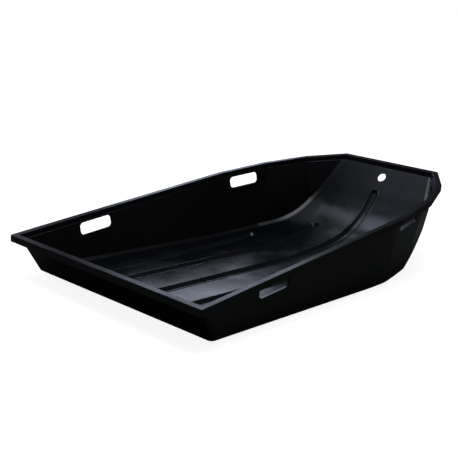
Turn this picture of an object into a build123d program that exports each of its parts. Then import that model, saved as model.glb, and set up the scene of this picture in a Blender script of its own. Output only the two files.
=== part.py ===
from build123d import *
import os
from math import cos, hypot, radians, sin, tan

os.makedirs("parts", exist_ok=True)

# One-piece polyethylene utility sled, modelled as the panels of its moulding.
# Millimetres. While it is modelled, x runs from the stern edge of the rim to
# the bow, y to port and z up from the ground. The last step moves the origin
# to the middle of the length, on the ground.

# Overall sizes
overall_length = 1342.0
stern_width = 800.0
stern_height = 120.5
bow_height = 289.5
sheet = 5.0

# Rim corners: distance back from the bow edge, and how far each side is drawn
# in from the stern's half width
corner_back = (485.0, 286.0, 125.0, 0.0)
corner_inset = (11.0, 45.5, 109.5, 204.0)

# Rim section, from the outside in: skirt, flat top, upstand, ledge
rim_top_width = 20.0
skirt_depth = 19.0
ledge_width = 5.0
ledge_depth = 16.0
rim_corner_radius = 8.0
rim_bend_radius = 60.0
rim_edge_radius = 2.5
ledge_edge_radius = 2.0

# Draft of the inner faces, in degrees from upright
stern_draft = 30.9
side_draft = 8.3
facet_drafts = (7.5, 10.2, 9.0)

# Floor and bow ramp
floor_clearance = 8.0
ramp_start_back = 572.0
ramp_lead_radius = 1500.0
ramp_lead_angle = 11.0
ramp_radius = 291.0
ramp_angle = 55.8
chine_bevel = 8.0
outer_chine_bevel = 4.0
wall_corner_radius = 45.0
stern_corner_radius = 13.0

# Grooves in the floor, which stand out below as runners
groove_width = 30.0
groove_floor_width = 13.0
groove_depth = floor_clearance
groove_land = sheet
runner_edge_radius = 5.0
groove_start = 140.0
inner_groove_offset = 141.0
outer_groove_offset = 237.0
outer_groove_splay = 2.0
centre_groove_end_back = 88.0
inner_groove_end_back = 236.0
outer_groove_end_back = 427.0

# Hand slots and tow hole
slot_length = 120.0
slot_height = 38.0
slot_corner_radius = 13.0
slot_gap = 0.5
stern_slot_middle = 295.0
bow_slot_middle = 91.0
tow_hole_diameter = 33.0
slot_reach = 60.0
tow_hole_back = 49.0

reach = 2000.0
sheer = (bow_height - stern_height) / overall_length
half_width = stern_width / 2
wall_inset = rim_top_width - sheet / 2


def inset(points, distance):
    # Every edge of a closed anticlockwise outline moves inwards by a distance
    count = len(points)
    lines = []
    for i in range(count):
        (ax, ay), (bx, by) = points[i], points[(i + 1) % count]
        length = hypot(bx - ax, by - ay)
        ux, uy = (bx - ax) / length, (by - ay) / length
        lines.append((ax - uy * distance, ay + ux * distance, ux, uy))
    result = []
    for i in range(count):
        px, py, pu, pv = lines[i - 1]
        qx, qy, qu, qv = lines[i]
        t = ((qx - px) * qv - (qy - py) * qu) / (pu * qv - pv * qu)
        result.append((px + pu * t, py + pv * t))
    return result


def both_sides(port):
    # Anticlockwise outline from its port corners, listed from stern to bow
    starboard = [(x, -y) for x, y in port]
    return starboard + port[::-1]


def rim_height(x):
    return stern_height + sheer * x


def largest(shape):
    return max(shape.solids(), key=lambda piece: piece.volume)


# Outline of the rim, seen from above
rim_port = [(0.0, half_width)]
for back, drawn in zip(corner_back, corner_inset):
    rim_port.append((overall_length - back, half_width - drawn))
rim_outline = both_sides(rim_port)

# Outline that the walls follow. Its last facet runs on past the bow, because
# the ramp closes the tub there.
(ax, ay), (bx, by) = rim_port[-2:]
run_on = 80.0
past_bow = (bx + run_on, by + run_on * (by - ay) / (bx - ax))
wall_outline = both_sides(rim_port[:-1] + [past_bow])
ledge_outline = inset(wall_outline, rim_top_width + ledge_width)
port_drafts = [side_draft] + list(facet_drafts)
drafts = port_drafts + [0.0] + port_drafts[::-1] + [stern_draft]
corner_count = len(wall_outline)


def meet(first, second, third):
    # The point on three planes, each given as its normal and its distance
    (a, p), (b, q), (c, r) = first, second, third
    point = b.cross(c) * p + c.cross(a) * q + a.cross(b) * r
    return point * (1 / a.dot(b.cross(c)))


def rim_slope(drop):
    return Vector(-sheer, 0, 1), stern_height - drop


def level(z):
    return Vector(0, 0, 1), z


def wall_plane(i, grow):
    # The face under one edge of the outline: it leaves the ledge's inner edge
    # and leans in by its draft, and it is grown outwards square to itself
    start, end = ledge_outline[i % corner_count], ledge_outline[(i + 1) % corner_count]
    along = Vector(end[0] - start[0], end[1] - start[1], sheer * (end[0] - start[0]))
    inward = Vector(-along.Y, along.X, 0).normalized()
    down = inward * tan(radians(drafts[i % corner_count])) + Vector(0, 0, -1)
    outward = down.cross(along).normalized()
    point = Vector(start[0], start[1], rim_height(start[0]) - ledge_depth)
    return outward, outward.dot(point) + grow


def wall_corners(grow, surface):
    # Where the bend lines between the walls cross a surface
    return [meet(wall_plane(i - 1, grow), wall_plane(i, grow), surface) for i in range(corner_count)]


def faceted(upper, lower):
    # Solid with flat faces between two outlines of matching corners
    count = len(upper)
    faces = [Face(Wire.make_polygon(upper, close=True)), Face(Wire.make_polygon(lower[::-1], close=True))]
    for i in range(count):
        j = (i + 1) % count
        faces.append(Face(Wire.make_polygon([lower[i], lower[j], upper[j], upper[i]], close=True)))
    return Solid(Shell(faces))


above_rim = rim_slope(-60.0)
under_ground = level(-60.0)


def ramp_wire(offset):
    # Floor and ramp as one line in the middle plane, this far below the inner
    # surface: level, a slow rise, the main bend, then straight on
    z = floor_clearance + sheet - offset
    foot = (overall_length - ramp_start_back, z)
    lead = JernArc(foot, (1, 0), ramp_lead_radius + offset, ramp_lead_angle)
    bend = JernArc(lead @ 1, lead % 1, ramp_radius + offset, ramp_angle - ramp_lead_angle)
    end = bend @ 1 + (bend % 1) * ((600 - (bend @ 1).Y) / sin(radians(ramp_angle)))
    line = Line((-200, z), foot) + lead + bend + Line(bend @ 1, end)
    return Wire((Plane.XZ * line).edges())


def above_ramp(offset):
    wire = ramp_wire(offset)
    closing = Polyline(wire @ 1, (-200, 0, 600), wire @ 0)
    face = Face(Wire(wire.edges() + closing.edges()))
    return extrude(face, reach / 2, dir=(0, 1, 0), both=True)


def bend_edges(solid, upper, lower, corners):
    found = []
    for i in corners:
        axis = Axis(upper[i], lower[i] - upper[i])
        for edge in solid.edges():
            if (edge @ 0.5 - axis.position).cross(axis.direction).length < 0.01:
                found.append(edge)
    return found


def tub(grow, chine):
    # Solid bounded by the walls and the ramp, grown outwards from the inner
    # surface, with its bends rounded and its chine bevelled
    upper, lower = wall_corners(grow, above_rim), wall_corners(grow, under_ground)
    last = corner_count - 1
    facet_bends = [1, 2, 3, last - 3, last - 2, last - 1]
    solid = faceted(upper, lower)
    solid = solid.fillet(wall_corner_radius + grow, bend_edges(solid, upper, lower, facet_bends))
    solid = solid.fillet(stern_corner_radius + grow, bend_edges(solid, upper, lower, [0, last]))
    solid = largest(solid & above_ramp(grow))
    profile = ramp_wire(grow)
    bevelled = []
    for edge in solid.edges():
        middle = edge @ 0.5
        across = abs((edge % 0.5).Y) > 0.999 and middle.X > groove_start
        if profile.distance_to(Vertex(middle.X, 0, middle.Z)) < 0.01 and not across:
            bevelled.append(edge)
    return solid.chamfer(chine, None, bevelled)


def slab(high_drop, low_drop):
    # Everything between two heights below the sloping rim
    ends = (-100.0, overall_length + 100.0)
    corners = [(ends[0], 0, rim_height(ends[0]) - high_drop), (ends[1], 0, rim_height(ends[1]) - high_drop)]
    corners += [(ends[1], 0, rim_height(ends[1]) - low_drop), (ends[0], 0, rim_height(ends[0]) - low_drop)]
    face = Face(Wire.make_polygon([Vector(*corner) for corner in corners], close=True))
    return extrude(face, reach / 2, dir=(0, 1, 0), both=True)


def prism(distance, radius=0.0):
    # Upright prism on the rim outline, drawn in by a distance, with its stern
    # and bow corners rounded and the bends between its facets eased
    points = inset(rim_outline, distance)
    face = Face(Wire.make_polygon([Vector(x, y, -50) for x, y in points], close=True))
    if radius:
        for places, rounding in (((0, 4, 5, 9), radius), ((1, 2, 3, 6, 7, 8), rim_bend_radius - distance)):
            chosen = [points[i] for i in places]
            corners = [v for v in face.vertices() if min(hypot(v.X - x, v.Y - y) for x, y in chosen) < 0.01]
            face = face.fillet_2d(rounding, corners)
    return extrude(face, 600, dir=(0, 0, 1))


# Tub: walls, floor and ramp in one sheet, up to the top of the ledge
inner_tub = tub(0.0, chine_bevel)
outer_tub = tub(sheet, outer_chine_bevel)
ledge = prism(wall_inset) & slab(ledge_depth, ledge_depth + sheet)
shell = largest((outer_tub & slab(ledge_depth + sheet, 900)) + ledge - inner_tub)

# Rim: skirt, flat top, upstand and the outer part of the ledge
upstand_out = rim_top_width - sheet
outside = prism(0, rim_corner_radius)
top_band = (outside - prism(rim_top_width, rim_corner_radius - sheet)) & slab(0, sheet)
skirt_band = (outside - prism(sheet, rim_corner_radius - sheet)) & slab(0, skirt_depth)
lower_block = prism(upstand_out, rim_corner_radius)
upstand_band = (lower_block - prism(rim_top_width, rim_corner_radius - sheet)) & slab(0, ledge_depth)
ledge_band = (lower_block - prism(wall_inset)) & slab(ledge_depth, ledge_depth + sheet)
rim = largest(top_band + skirt_band + upstand_band + ledge_band)

top_edges = []
for edge in rim.edges():
    middle = edge @ 0.5
    if abs(middle.Z - rim_height(middle.X)) < 0.01:
        top_edges.append(edge)
rim = rim.fillet(rim_edge_radius, top_edges)

ledge_edges = []
for face in shell.faces():
    middle = face.center()
    on_ledge = abs(middle.Z - rim_height(middle.X) + ledge_depth) < 0.05
    if on_ledge and abs(face.normal_at().Z) > 0.9:
        for wire in face.inner_wires():
            ledge_edges += wire.edges()
shell = shell.fillet(ledge_edge_radius, ledge_edges)


# Hand slots, under the ledge and along the rim
def slot_cut(start, end, middle, side):
    ax, ay = rim_port[start]
    bx, by = rim_port[end]
    length = hypot(bx - ax, by - ay)
    ux, uy = (bx - ax) / length, (by - ay) / length
    x, y = ax + ux * middle, (ay + uy * middle) * side
    z = rim_height(x) - ledge_depth - sheet - slot_gap - slot_height / 2
    along = Vector(ux, uy * side, sheer * ux).normalized()
    outward = Vector(-uy, ux * side, 0)
    plane = Plane(origin=(x, y, z), x_dir=along, z_dir=outward)
    return extrude(plane * RectangleRounded(slot_length, slot_height, slot_corner_radius), slot_reach, both=True)


for side in (1, -1):
    shell = shell - slot_cut(0, 1, stern_slot_middle, side)
    shell = shell - slot_cut(1, 2, bow_slot_middle, side)

# Tow hole, square to the ramp
profile = ramp_wire(0.0)


def place_at(x):
    # How far along the floor and ramp line, from 0 to 1, a given x is reached
    low, high = 0.0, 1.0
    for _ in range(40):
        middle = (low + high) / 2
        if (profile @ middle).X < x:
            low = middle
        else:
            high = middle
    return low


hole_place = place_at(overall_length - tow_hole_back)
hole_normal = (profile % hole_place).cross(Vector(0, 1, 0)) * -1
hole_plane = Plane(origin=profile @ hole_place, x_dir=(0, 1, 0), z_dir=hole_normal)
shell = shell - extrude(hole_plane * Circle(tow_hole_diameter / 2), sheet * 4, both=True)

# Floor and ramp inside the chine, and the walls outside it
chine_reach = chine_bevel + 2
core = faceted(wall_corners(-chine_reach, above_rim), wall_corners(-chine_reach, under_ground))
base = largest(shell & core)
walls = shell - core


# Runners: a groove in the floor, with the same sheet carried round below it
def swept(path, points, radius):
    # The section follows the path, and is turned about its own middle line at
    # both ends
    plane = Plane(origin=path @ 0, x_dir=(0, 1, 0), z_dir=path % 0)
    end_plane = Plane(origin=path @ 1, x_dir=(0, 1, 0), z_dir=path % 1)
    mirrored = [(-u, w) for u, w in reversed(points)]
    aft_half = [(0, points[0][1])] + points + [(0, points[-1][1])]
    fore_half = [(0, points[-1][1])] + mirrored + [(0, points[0][1])]

    def section(outline):
        face = Face(Wire.make_polygon([Vector(u, w) for u, w in outline], close=True))
        corners = [v for v in face.vertices() if abs(v.X) > 0.01 and abs(v.Y - points[0][1]) < 0.01]
        return face.fillet_2d(radius, corners) if radius else face

    run = Solid.sweep(plane * section(points + mirrored), path)
    run = run + revolve(plane * section(aft_half), Axis(plane.origin, plane.y_dir), 180)
    run = run + revolve(end_plane * section(fore_half), Axis(end_plane.origin, end_plane.y_dir), 180)
    return largest(run)


def channel(path, offset):
    slope = (groove_width - groove_floor_width) / 2 / groove_depth
    out = groove_width / 2 + offset * hypot(1, slope)
    low = -groove_depth - offset
    high = 2.0 if offset == 0 else -sheet / 2
    points = [(out + slope * low, low), (out + slope * high, high)]
    return swept(path, points, runner_edge_radius if offset else 0)


def channel_land(path):
    # Upright block round a groove, which cuts its share of sheet from the base
    aft, fore = path @ 0, path @ 1
    along = Vector(fore.X - aft.X, fore.Y - aft.Y, 0)
    middle = ((aft.X + fore.X) / 2, (aft.Y + fore.Y) / 2, -60)
    plane = Plane(origin=middle, x_dir=along.normalized(), z_dir=(0, 0, 1))
    return extrude(plane * SlotCenterToCenter(along.length, groove_width + 2 * groove_land), 500, dir=(0, 0, 1))


def groove_path(offset, end_back, splay=0.0):
    piece = profile.trim(place_at(groove_start), place_at(overall_length - end_back))
    return piece.rotate(Axis((groove_start, 0, 0), (0, 0, 1)), splay).moved(Pos(0, offset, 0))


paths = {"centre_runner": groove_path(0, centre_groove_end_back)}
for name, side in (("port", 1), ("starboard", -1)):
    paths[name + "_inner_runner"] = groove_path(side * inner_groove_offset, inner_groove_end_back)
    splay = side * outer_groove_splay
    paths[name + "_outer_runner"] = groove_path(side * outer_groove_offset, outer_groove_end_back, splay)

nodes = {}
for name, path in paths.items():
    land = channel_land(path)
    runner = largest((base & land) + channel(path, sheet) - channel(path, 0.0))
    base = largest(base - land)
    nodes[name] = runner

# Floor pan and bow ramp meet where the ramp begins to rise
bend_x = overall_length - ramp_start_back
aft = Pos(bend_x - reach / 2, 0, 0) * Box(reach, reach, reach)
nodes["floor_pan"] = largest(base & aft)
nodes["bow_ramp"] = largest(base - aft)

# Wall and rim panels meet on the bend lines between the facets
panel_names = ["side", "shoulder", "bow", "corner"]
upper_out, lower_out = wall_corners(2 * wall_inset, above_rim), wall_corners(2 * wall_inset, under_ground)
upper_in, lower_in = wall_corners(-chine_reach, above_rim), wall_corners(-chine_reach, under_ground)
rim_out, rim_in = inset(rim_outline, -wall_inset), inset(rim_outline, 2 * wall_inset)
count = len(rim_outline)
for i in range(count):
    j = (i + 1) % count
    if i == 9:
        name = "stern"
    elif i == 4:
        name = "bow"
    elif i < 4:
        name = "starboard_" + panel_names[i]
    else:
        name = "port_" + panel_names[8 - i]
    if i != 4:
        upper = [upper_out[i], upper_out[j], upper_in[j], upper_in[i]]
        lower = [lower_out[i], lower_out[j], lower_in[j], lower_in[i]]
        block = faceted(upper, lower)
        nodes[name + "_wall"] = largest(walls & block)
    quad = [rim_out[i], rim_out[j], rim_in[j], rim_in[i]]
    face = Face(Wire.make_polygon([Vector(x, y, -50) for x, y in quad], close=True))
    nodes[name + "_rim"] = largest(rim & extrude(face, 600, dir=(0, 0, 1)))

for name, solid in nodes.items():
    placed = solid.moved(Pos(-overall_length / 2, 0, 0))
    export_step(placed, os.path.join("parts", name + ".step"))
    print(name, len(solid.faces()), round(solid.volume))
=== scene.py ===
import math

import bpy
import numpy as np
from mathutils import Matrix, Vector


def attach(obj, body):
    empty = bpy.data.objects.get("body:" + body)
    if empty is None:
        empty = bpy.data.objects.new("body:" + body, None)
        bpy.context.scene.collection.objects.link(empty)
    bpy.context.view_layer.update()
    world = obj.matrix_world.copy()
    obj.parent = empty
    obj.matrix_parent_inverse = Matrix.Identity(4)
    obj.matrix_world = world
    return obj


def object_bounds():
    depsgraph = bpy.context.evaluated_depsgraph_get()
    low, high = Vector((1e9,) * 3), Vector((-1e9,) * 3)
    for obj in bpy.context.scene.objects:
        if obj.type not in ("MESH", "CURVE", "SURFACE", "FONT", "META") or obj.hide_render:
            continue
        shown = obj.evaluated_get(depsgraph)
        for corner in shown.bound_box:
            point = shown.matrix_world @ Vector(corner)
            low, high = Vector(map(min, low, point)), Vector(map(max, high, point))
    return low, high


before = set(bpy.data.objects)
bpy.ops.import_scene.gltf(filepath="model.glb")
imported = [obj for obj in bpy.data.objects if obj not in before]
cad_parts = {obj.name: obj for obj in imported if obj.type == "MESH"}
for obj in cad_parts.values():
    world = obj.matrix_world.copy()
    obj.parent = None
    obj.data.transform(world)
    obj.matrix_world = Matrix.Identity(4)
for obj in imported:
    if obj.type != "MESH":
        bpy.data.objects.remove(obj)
cadLow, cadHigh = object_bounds()
print("frame loaded:", len(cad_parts), "panels")

# the camera stands off the stern's starboard corner, a little above the rim
cameraValues = {
    "aim": (-0.071, 0.0, 0.1714),
    "azimuth": -47.236,      # degrees from square on to the starboard side, minus is towards the stern
    "elevation": 14.455,
    "roll": 3.937,
    "distance": 2.8841,
    "offset": (-0.06483, -0.02661),   # metres to the right and up, in the camera's own plane
    "lens": 73.57,
    "sensor": 36.0,
}


def placeCamera(values):
    a = math.radians(values["azimuth"])
    e = math.radians(values["elevation"])
    r = math.radians(values["roll"])
    back = Vector((math.sin(a) * math.cos(e), -math.cos(a) * math.cos(e), math.sin(e)))
    right = Vector((math.cos(a), math.sin(a), 0.0))
    up = back.cross(right)
    xAxis = right * math.cos(r) + up * math.sin(r)
    yAxis = up * math.cos(r) - right * math.sin(r)
    place = Vector(values["aim"]) + back * values["distance"]
    place += xAxis * values["offset"][0] + yAxis * values["offset"][1]
    data = bpy.data.cameras.new("camera")
    data.lens = values["lens"]
    data.sensor_width = values["sensor"]
    camera = bpy.data.objects.new("camera", data)
    turn = Matrix((xAxis, yAxis, back)).transposed().to_4x4()
    camera.matrix_world = Matrix.Translation(place) @ turn
    bpy.context.scene.collection.objects.link(camera)
    bpy.context.scene.camera = camera


placeCamera(cameraValues)
print("camera placed")


def linearColour(hexText, alpha=1.0):
    # sRGB hex to linear: each channel through the standard sRGB curve
    channels = [int(hexText[i:i + 2], 16) / 255 for i in (1, 3, 5)]
    curve = [c / 12.92 if c <= 0.04045 else ((c + 0.055) / 1.055) ** 2.4 for c in channels]
    return (*curve, alpha)


def addNode(tree, kind, settings=None, **links):
    # settings are the node's sockets, by name or number, and its own fields;
    # links go to a socket by name, or as i0, i1 and so on by number
    node = tree.nodes.new(kind)
    for name, value in (settings or {}).items():
        if isinstance(name, int) or name in node.inputs:
            node.inputs[name].default_value = value
        else:
            setattr(node, name, value)
    for name, socket in links.items():
        place = int(name[1:]) if name[0] == "i" and name[1:].isdigit() else name.replace("_", " ")
        tree.links.new(socket, node.inputs[place])
    return node


# what all of the sled's sheet shares
sheetValues = {
    "ior": 1.54,                       # polyethylene
    "cloudDetail": 3.0, "cloudRough": 0.45,
    "cloudSpread": (0.25, 0.75),       # noise levels of the glossiest and the dullest skin
    "streakRun": (0.05, 1.0, 0.35),    # 20 times longer than wide, and taller up the walls
    "streakDetail": 6.0, "streakRough": 0.7,
    "streakSpread": (0.45, 0.8),       # noise levels of no streak and a full one
    "streakDull": 0.22,                # how much rougher a full streak is
    "grainDetail": 2.0, "waveDetail": 1.0,
}


def mouldedPolyethylene(name, values, shared):
    # High-density polyethylene, vacuum formed from a black sheet: the colour is
    # all the way through, the skin is satin, and it cooled unevenly on the
    # mould, so its gloss is cloudy and its faces are a little wavy
    material = bpy.data.materials.new(name)
    material.use_nodes = True
    tree = material.node_tree
    tree.nodes.clear()
    place = addNode(tree, "ShaderNodeTexCoord").outputs["Object"]

    # patches of gloss where the sheet touched the mould first
    cloud = addNode(tree, "ShaderNodeTexNoise", {
        "Scale": 1000 / values["cloudMm"], "Detail": shared["cloudDetail"], "Roughness": shared["cloudRough"],
    }, Vector=place).outputs["Fac"]
    gloss = addNode(tree, "ShaderNodeMapRange", {
        "From Min": shared["cloudSpread"][0], "From Max": shared["cloudSpread"][1],
        "To Min": values["glossiest"], "To Max": values["dullest"],
    }, Value=cloud).outputs["Result"]

    # streaks along the length, from the load and the snow that slide on it
    along = addNode(tree, "ShaderNodeMapping", {"Scale": shared["streakRun"]}, Vector=place).outputs["Vector"]
    streak = addNode(tree, "ShaderNodeTexNoise", {
        "Scale": 1000 / values["streakMm"], "Detail": shared["streakDetail"], "Roughness": shared["streakRough"],
    }, Vector=along).outputs["Fac"]
    scuff = addNode(tree, "ShaderNodeMapRange", {
        "From Min": shared["streakSpread"][0], "From Max": shared["streakSpread"][1],
        "To Min": 0.0, "To Max": values["scuff"],
    }, Value=streak).outputs["Result"]

    clean = addNode(tree, "ShaderNodeMix", {
        "data_type": "RGBA", 6: linearColour(values["deep"]), 7: linearColour(values["pale"]),
    }, i0=cloud).outputs[2]
    colour = addNode(tree, "ShaderNodeMix", {"data_type": "RGBA", 7: linearColour(values["rubbed"])},
                     i0=scuff, i6=clean).outputs[2]
    rough = addNode(tree, "ShaderNodeMath", {"operation": "MULTIPLY_ADD", 1: shared["streakDull"]},
                    i0=scuff, i2=gloss).outputs["Value"]

    # the skin's own grain, about 0.3 mm and too fine to show, is drawn nearly
    # ten times coarser; the waves are a sheet's that shrank as it cooled
    grain = addNode(tree, "ShaderNodeTexNoise", {
        "Scale": 1000 / values["grainMm"], "Detail": shared["grainDetail"],
    }, Vector=place).outputs["Fac"]
    wave = addNode(tree, "ShaderNodeTexNoise", {
        "Scale": 1000 / values["waveMm"], "Detail": shared["waveDetail"],
    }, Vector=place).outputs["Fac"]
    waved = addNode(tree, "ShaderNodeBump", {"Strength": 1.0, "Distance": values["waveHighMm"] / 1000},
                    Height=wave).outputs["Normal"]
    normal = addNode(tree, "ShaderNodeBump", {"Strength": 1.0, "Distance": values["grainHighMm"] / 1000},
                     Height=grain, Normal=waved).outputs["Normal"]
    shader = addNode(tree, "ShaderNodeBsdfPrincipled", {"IOR": shared["ior"]},
                     Base_Color=colour, Roughness=rough, Normal=normal).outputs["BSDF"]
    addNode(tree, "ShaderNodeOutputMaterial", Surface=shader)
    return material


# the outside and inside of the walls, which nothing slides on
wallValues = {
    "deep": "#050607", "pale": "#0b0c0e", "rubbed": "#1c1d20",
    "cloudMm": 140, "glossiest": 0.20, "dullest": 0.32,
    "streakMm": 6, "scuff": 0.2,
    "grainMm": 3.0, "grainHighMm": 0.02, "waveMm": 160, "waveHighMm": 1.2,
}
# floor and ramp, hazed by what has been dragged over them
floorValues = {
    "deep": "#040507", "pale": "#0c0f14", "rubbed": "#22262d",
    "cloudMm": 120, "glossiest": 0.16, "dullest": 0.34,
    "streakMm": 12, "scuff": 0.2,
    "grainMm": 3.0, "grainHighMm": 0.02, "waveMm": 120, "waveHighMm": 1.5,
}
# the rim, which hands and straps rub
rimValues = {
    "deep": "#08090a", "pale": "#0e0f12", "rubbed": "#2c2e33",
    "cloudMm": 90, "glossiest": 0.26, "dullest": 0.36,
    "streakMm": 5, "scuff": 0.35,
    "grainMm": 2.5, "grainHighMm": 0.02, "waveMm": 140, "waveHighMm": 0.8,
}

wallSheet = mouldedPolyethylene("mouldedPolyethyleneWall", wallValues, sheetValues)
floorSheet = mouldedPolyethylene("mouldedPolyethyleneFloor", floorValues, sheetValues)
rimSheet = mouldedPolyethylene("mouldedPolyethyleneRim", rimValues, sheetValues)
for name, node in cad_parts.items():
    sheet = rimSheet if name.endswith("_rim") else wallSheet if name.endswith("_wall") else floorSheet
    node.data.materials.clear()
    node.data.materials.append(sheet)
print("materials on")

# each groove is pressed in from a level floor that rises into the ramp, and
# the sheet draws up into a slim lip round its mouth
grooveValues = {
    "floorHigh": 0.013,          # metres, as are all the lengths here
    "rampFoot": 0.572,           # back from the bow edge
    "leadRadius": 1.5, "leadAngle": 11.0,
    "bendRadius": 0.291, "bendAngle": 55.8,
    "start": 0.140,              # forward of the stern edge
    "halfWidth": 0.015,
    "lipWide": 0.007, "lipProud": 0.0018,
    "lipTuck": 0.0003,           # how far the lip hangs over the groove
    "around": 480, "across": 10,
    "lineReach": (-0.7, 1.0), "linePoints": 6801,   # a point each 0.25 mm, to look places up on
    # name: offset from the middle, end back from the bow edge, splay in degrees
    "runs": {
        "centre_runner": (0.0, 0.088, 0.0),
        "port_inner_runner": (0.141, 0.236, 0.0), "starboard_inner_runner": (-0.141, 0.236, 0.0),
        "port_outer_runner": (0.237, 0.427, 2.0), "starboard_outer_runner": (-0.237, 0.427, -2.0),
    },
}


def floorLine(run, values):
    # Point and upward normal of the floor at a distance run forward of the
    # ramp's foot: level behind it, then two arcs, each tangent to the last,
    # then straight. On an arc of radius r the line turns by run / r.
    lead, bend = math.radians(values["leadAngle"]), math.radians(values["bendAngle"])
    first = values["leadRadius"] * lead
    second = first + values["bendRadius"] * (bend - lead)
    a = np.clip(run / values["leadRadius"], 0.0, lead)
    b = np.clip((run - first) / values["bendRadius"], 0.0, bend - lead)
    tail = np.maximum(run - second, 0.0)
    x = np.minimum(run, 0.0) + values["leadRadius"] * np.sin(a)
    z = values["leadRadius"] * (1 - np.cos(a))
    x += values["bendRadius"] * (np.sin(lead + b) - math.sin(lead)) + tail * math.cos(bend)
    z += values["bendRadius"] * (math.cos(lead) - np.cos(lead + b)) + tail * math.sin(bend)
    turn = a + b
    return x, z, -np.sin(turn), np.cos(turn)


def grooveLip(name, offset, endBack, splay, values):
    # A ring of oval section round the groove's mouth. The mouth is a slot: two
    # straight sides joined by half circles. The section's angle q moves it out
    # from the mouth's edge by half the lip's width times 1 + cos q, less a
    # tuck, and off the floor by the lip's height times sin q.
    foot = cadHigh[0] - values["rampFoot"]
    start = cadLow[0] + values["start"]
    runs = np.linspace(*values["lineReach"], values["linePoints"])
    lineX = floorLine(runs, values)[0] + foot
    firstRun = float(np.interp(start, lineX, runs))
    lastRun = float(np.interp(cadHigh[0] - endBack, lineX, runs))
    half = values["halfWidth"]
    length = lastRun - firstRun
    arc = math.pi * half
    n, m = values["around"], values["across"]
    # how much of each stretch is behind a point of the ring: the starboard
    # side, the bow end, the port side and the stern end
    d = np.arange(n) / n * 2 * (length + arc)
    side = np.clip(d, 0, length)
    bowTurn = np.clip(d - length, 0, arc) / half
    other = np.clip(d - length - arc, 0, length)
    sternTurn = np.clip(d - 2 * length - arc, 0, arc) / half
    turn = bowTurn + sternTurn
    middle = firstRun + side - other
    q = np.arange(m) / m * 2 * math.pi
    reach = half - values["lipTuck"] + (1 + np.cos(q)[None, :]) * values["lipWide"] / 2
    across = -np.cos(turn)[:, None] * reach
    x, z, normalX, normalZ = floorLine(middle[:, None] + np.sin(turn)[:, None] * reach, values)
    high = np.sin(q)[None, :] * values["lipProud"]
    x = x + foot + normalX * high
    z = z + values["floorHigh"] + normalZ * high
    # the outer grooves are turned about their stern ends
    a = math.radians(splay)
    turnedX = start + (x - start) * math.cos(a) - across * math.sin(a)
    turnedY = offset + (x - start) * math.sin(a) + across * math.cos(a)
    points = np.stack([turnedX, turnedY, z], axis=-1).reshape(-1, 3)
    i, j = np.meshgrid(np.arange(n), np.arange(m), indexing="ij")
    nextI, nextJ = (i + 1) % n, (j + 1) % m
    faces = np.stack([i * m + j, nextI * m + j, nextI * m + nextJ, i * m + nextJ], axis=-1).reshape(-1, 4)
    mesh = bpy.data.meshes.new(name)
    mesh.from_pydata(points.tolist(), [], faces.tolist())
    mesh.polygons.foreach_set("use_smooth", np.ones(len(faces), dtype=bool))
    mesh.update()
    piece = bpy.data.objects.new(name, mesh)
    bpy.context.scene.collection.objects.link(piece)
    mesh.materials.append(floorSheet)
    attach(piece, "root")


for run, (offset, endBack, splay) in grooveValues["runs"].items():
    grooveLip(run + "_lip", offset, endBack, splay, grooveValues)
print("groove lips made")

studioValues = {
    "backdrop": 1.0,             # what the camera sees behind
    "room": 0.055,               # what lights the sled from all round
    "roomColour": "#eef2ff",
    "paper": "#e8e8ea",          # the floor, as the camera sees it
    "card": "#646562",           # the floor, as everything else sees it
    "floorSize": 14.0,
    "glowFrom": 0.9, "glowTo": 1.8,       # metres from the sled's middle
    "glowNear": 0.90, "glowFar": 1.0,
    "lamps": {                   # metres, watts, and a linear tint
        "overhead": {"place": (-0.3, -0.4, 2.5), "size": (1.6, 1.6), "power": 22, "colour": (0.88, 0.92, 1.0)},
        "bowSide": {"place": (1.25, 1.62, 1.2), "size": (0.95, 0.9), "power": 5.9, "colour": (0.74, 0.80, 1.0)},
        "bowHigh": {"place": (0.5, 1.25, 2.2), "size": (0.9, 0.5), "power": 3.2, "colour": (0.74, 0.80, 1.0)},
        "portHigh": {"place": (-0.6, 1.15, 2.0), "size": (0.7, 0.5), "power": 0.7, "colour": (0.74, 0.80, 1.0)},
        "portLow": {"place": (-0.2, 2.8, 0.8), "size": (1.8, 0.8), "power": 9.0, "colour": (0.88, 0.92, 1.0)},
    },
    "lampAim": (0.0, 0.0, 0.1),
}


def studioRoom(values):
    # white behind the sled, and a dim room for all that lights it
    world = bpy.data.worlds.new("studio")
    world.use_nodes = True
    bpy.context.scene.world = world
    tree = world.node_tree
    tree.nodes.clear()
    path = addNode(tree, "ShaderNodeLightPath")
    clear = addNode(tree, "ShaderNodeMath", {"operation": "MAXIMUM"}, i0=path.outputs["Is Camera Ray"],
                    i1=path.outputs["Is Transmission Ray"]).outputs["Value"]
    seen = addNode(tree, "ShaderNodeBackground", {"Color": (1, 1, 1, 1), "Strength": values["backdrop"]})
    room = addNode(tree, "ShaderNodeBackground", {"Color": linearColour(values["roomColour"]),
                                                  "Strength": values["room"]})
    mix = addNode(tree, "ShaderNodeMixShader", i0=clear, i1=room.outputs["Background"],
                  i2=seen.outputs["Background"])
    addNode(tree, "ShaderNodeOutputWorld", Surface=mix.outputs["Shader"])


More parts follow.
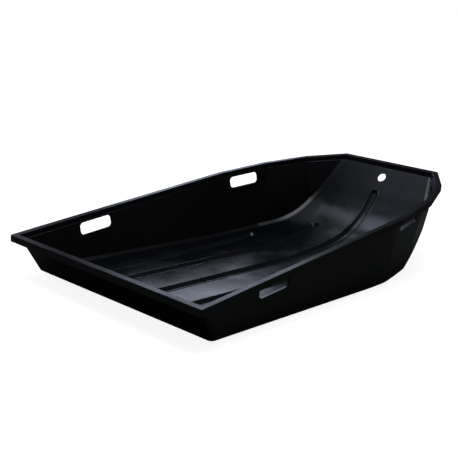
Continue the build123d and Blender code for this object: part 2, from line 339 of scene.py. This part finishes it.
def areaLight(name, values, aim):
    data = bpy.data.lights.new(name, "AREA")
    data.shape = "RECTANGLE"
    data.size, data.size_y = values["size"]
    data.energy = values["power"]
    data.color = values["colour"]
    lamp = bpy.data.objects.new(name, data)
    lamp.location = values["place"]
    lamp.rotation_euler = (Vector(aim) - Vector(values["place"])).to_track_quat("-Z", "Y").to_euler()
    bpy.context.scene.collection.objects.link(lamp)


def paleFloor(values):
    # Plain paper: white to the camera with the sled's shadow on it, and a dull
    # card to everything else, so that it doesn't light the walls from below
    mesh = bpy.data.meshes.new("floor")
    half = values["floorSize"] / 2
    mesh.from_pydata([(-half, -half, 0), (half, -half, 0), (half, half, 0), (-half, half, 0)], [], [(0, 1, 2, 3)])
    floor = bpy.data.objects.new("floor", mesh)
    floor.location.z = -0.0005   # just under the runners
    bpy.context.scene.collection.objects.link(floor)
    material = bpy.data.materials.new("plainPaper")
    material.use_nodes = True
    tree = material.node_tree
    tree.nodes.clear()
    path = addNode(tree, "ShaderNodeLightPath")
    lit = addNode(tree, "ShaderNodeBsdfDiffuse", {"Color": linearColour(values["paper"])})
    # pure white away from the sled, and just short of it where its shadow falls
    place = addNode(tree, "ShaderNodeTexCoord").outputs["Object"]
    away = addNode(tree, "ShaderNodeVectorMath", {"operation": "LENGTH"}, i0=place).outputs["Value"]
    fade = addNode(tree, "ShaderNodeMapRange", {
        "From Min": values["glowFrom"], "From Max": values["glowTo"],
        "To Min": values["glowNear"], "To Max": values["glowFar"],
    }, Value=away).outputs["Result"]
    glow = addNode(tree, "ShaderNodeEmission", {"Color": (1, 1, 1, 1)}, Strength=fade)
    both = addNode(tree, "ShaderNodeAddShader", i0=lit.outputs["BSDF"], i1=glow.outputs["Emission"])
    card = addNode(tree, "ShaderNodeBsdfDiffuse", {"Color": linearColour(values["card"])})
    mix = addNode(tree, "ShaderNodeMixShader", i0=path.outputs["Is Camera Ray"], i1=card.outputs["BSDF"],
                  i2=both.outputs["Shader"])
    addNode(tree, "ShaderNodeOutputMaterial", Surface=mix.outputs["Shader"])
    mesh.materials.append(material)


studioRoom(studioValues)
for name, lampValues in studioValues["lamps"].items():
    areaLight(name, lampValues, studioValues["lampAim"])
paleFloor(studioValues)
print("studio lit")

bpy.context.scene.view_settings.view_transform = "Standard"
